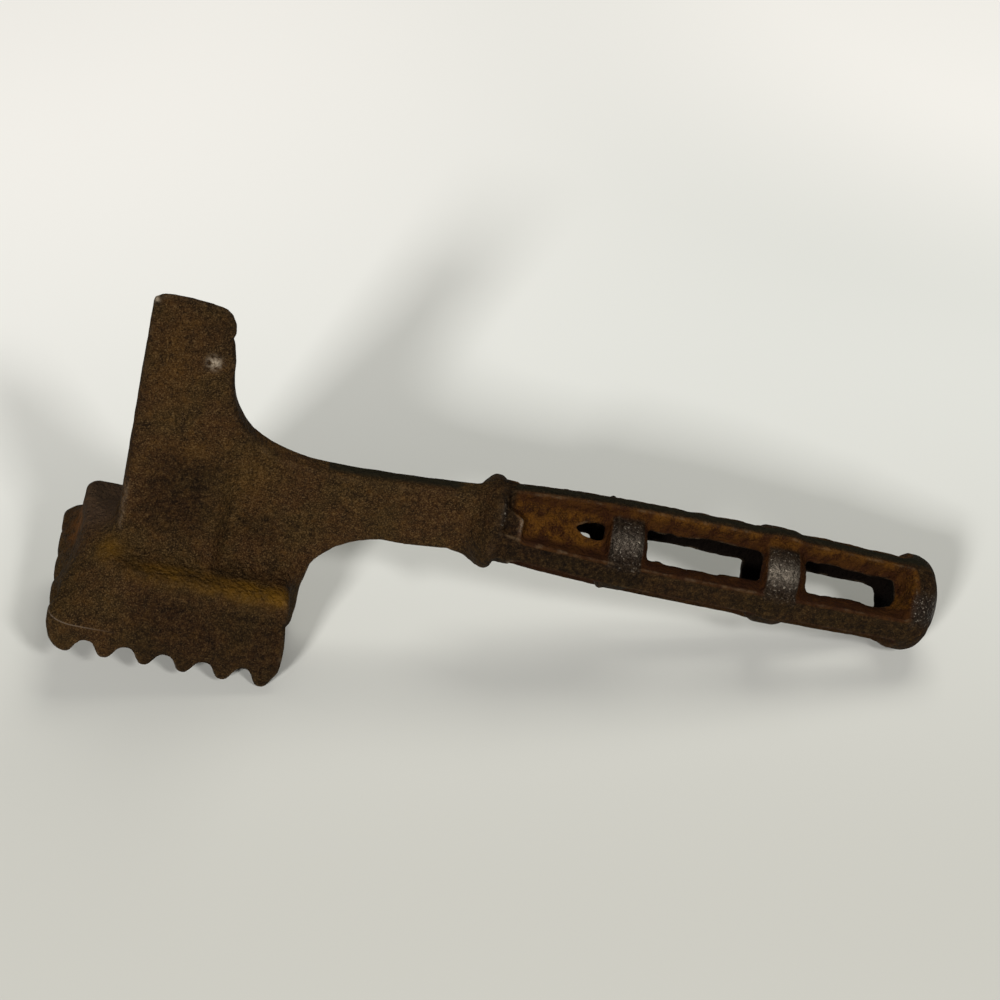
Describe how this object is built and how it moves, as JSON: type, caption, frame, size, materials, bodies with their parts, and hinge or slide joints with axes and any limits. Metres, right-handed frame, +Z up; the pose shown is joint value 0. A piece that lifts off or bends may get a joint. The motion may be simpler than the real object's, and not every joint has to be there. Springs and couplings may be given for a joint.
{
  "type": "meat tenderizer",
  "caption": "Cast iron meat tenderizer: square head of blunt pyramid teeth with a hatchet blade opposite, flat neck, bead collar and open-work handle ending in a domed butt.",
  "frame": {"origin": "on the floor under the middle of the tool as it rests, halfway along its length and its width", "axes": "+X along the tool from the head towards the butt, level with the floor; +Z up; +Y across the flat neck. The tool rests on its last column of teeth and on the butt, so its own handle axis slopes down towards +X by about 12 degrees"},
  "size_m": [0.2292, 0.048, 0.1022],
  "materials": {
    "brown_iron": "rusted",
    "dark_iron": "rusted",
    "rust_iron": "rusted",
    "worn_iron": "satin"
  },
  "bodies": {
    "root": {"tooth_plate": "brown_iron", "head_block": "brown_iron", "blade_post": "dark_iron", "hatchet_blade": "dark_iron", "neck_web": "brown_iron", "collar": "dark_iron", "front_bay": "rust_iron", "front_ring": "worn_iron", "rear_ring": "worn_iron", "butt_cap": "worn_iron", "middle_near_rail": "rust_iron", "middle_top_rail": "rust_iron", "middle_far_rail": "rust_iron", "middle_bottom_rail": "rust_iron", "rear_near_rail": "rust_iron", "rear_top_rail": "rust_iron", "rear_far_rail": "rust_iron", "rear_bottom_rail": "rust_iron"}
  },
  "joints": []
}
